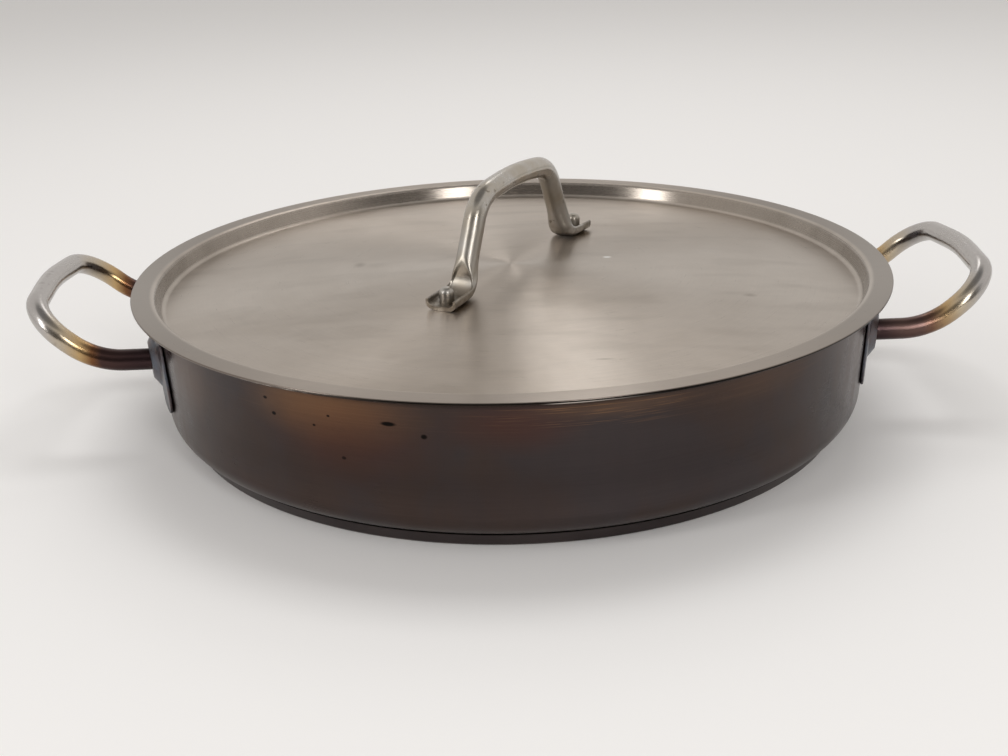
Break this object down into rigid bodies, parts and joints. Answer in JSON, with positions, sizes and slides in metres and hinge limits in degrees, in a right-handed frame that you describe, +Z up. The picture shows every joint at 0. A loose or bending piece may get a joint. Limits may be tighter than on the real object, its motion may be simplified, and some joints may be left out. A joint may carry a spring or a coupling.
{
  "type": "brazier pan",
  "caption": "Wide shallow round metal pan with a sandwich base, upswept tube loop handles on pressed domed brackets, and a loose sunk lid with a riveted arched tube handle.",
  "frame": {"origin": "middle of the underside of the pan's base", "axes": "+X from the pan's axis through the middle of the right loop handle, -Y towards the front, +Z up along the pan's axis"},
  "size_m": [0.4816, 0.382, 0.1246],
  "materials": {
    "heated_steel": "brushed, darkened brown by heat",
    "base_steel": "brushed, darkened by heat",
    "core_aluminium": "plain",
    "bracket_steel": "satin, darkened by heat",
    "loop_steel": "polished, straw to brown tint near the pan",
    "lid_steel": "circular brushing",
    "handle_steel": "polished, worn"
  },
  "bodies": {
    "pan": {"pan_shell": "heated_steel", "base_cap": "base_steel", "base_core": "core_aluminium", "left_front_bracket": "bracket_steel", "left_rear_bracket": "bracket_steel", "right_front_bracket": "bracket_steel", "right_rear_bracket": "bracket_steel", "left_loop_handle": "loop_steel", "right_loop_handle": "loop_steel"},
    "lid": {"lid_panel": "lid_steel", "lid_handle": "handle_steel", "lid_rivets": "handle_steel"}
  },
  "joints": [
    {"name": "lid_lift", "type": "slide", "parent": "pan", "child": "lid", "axis": [0, 0, 1], "range_m": [0, 0.15]}
  ]
}
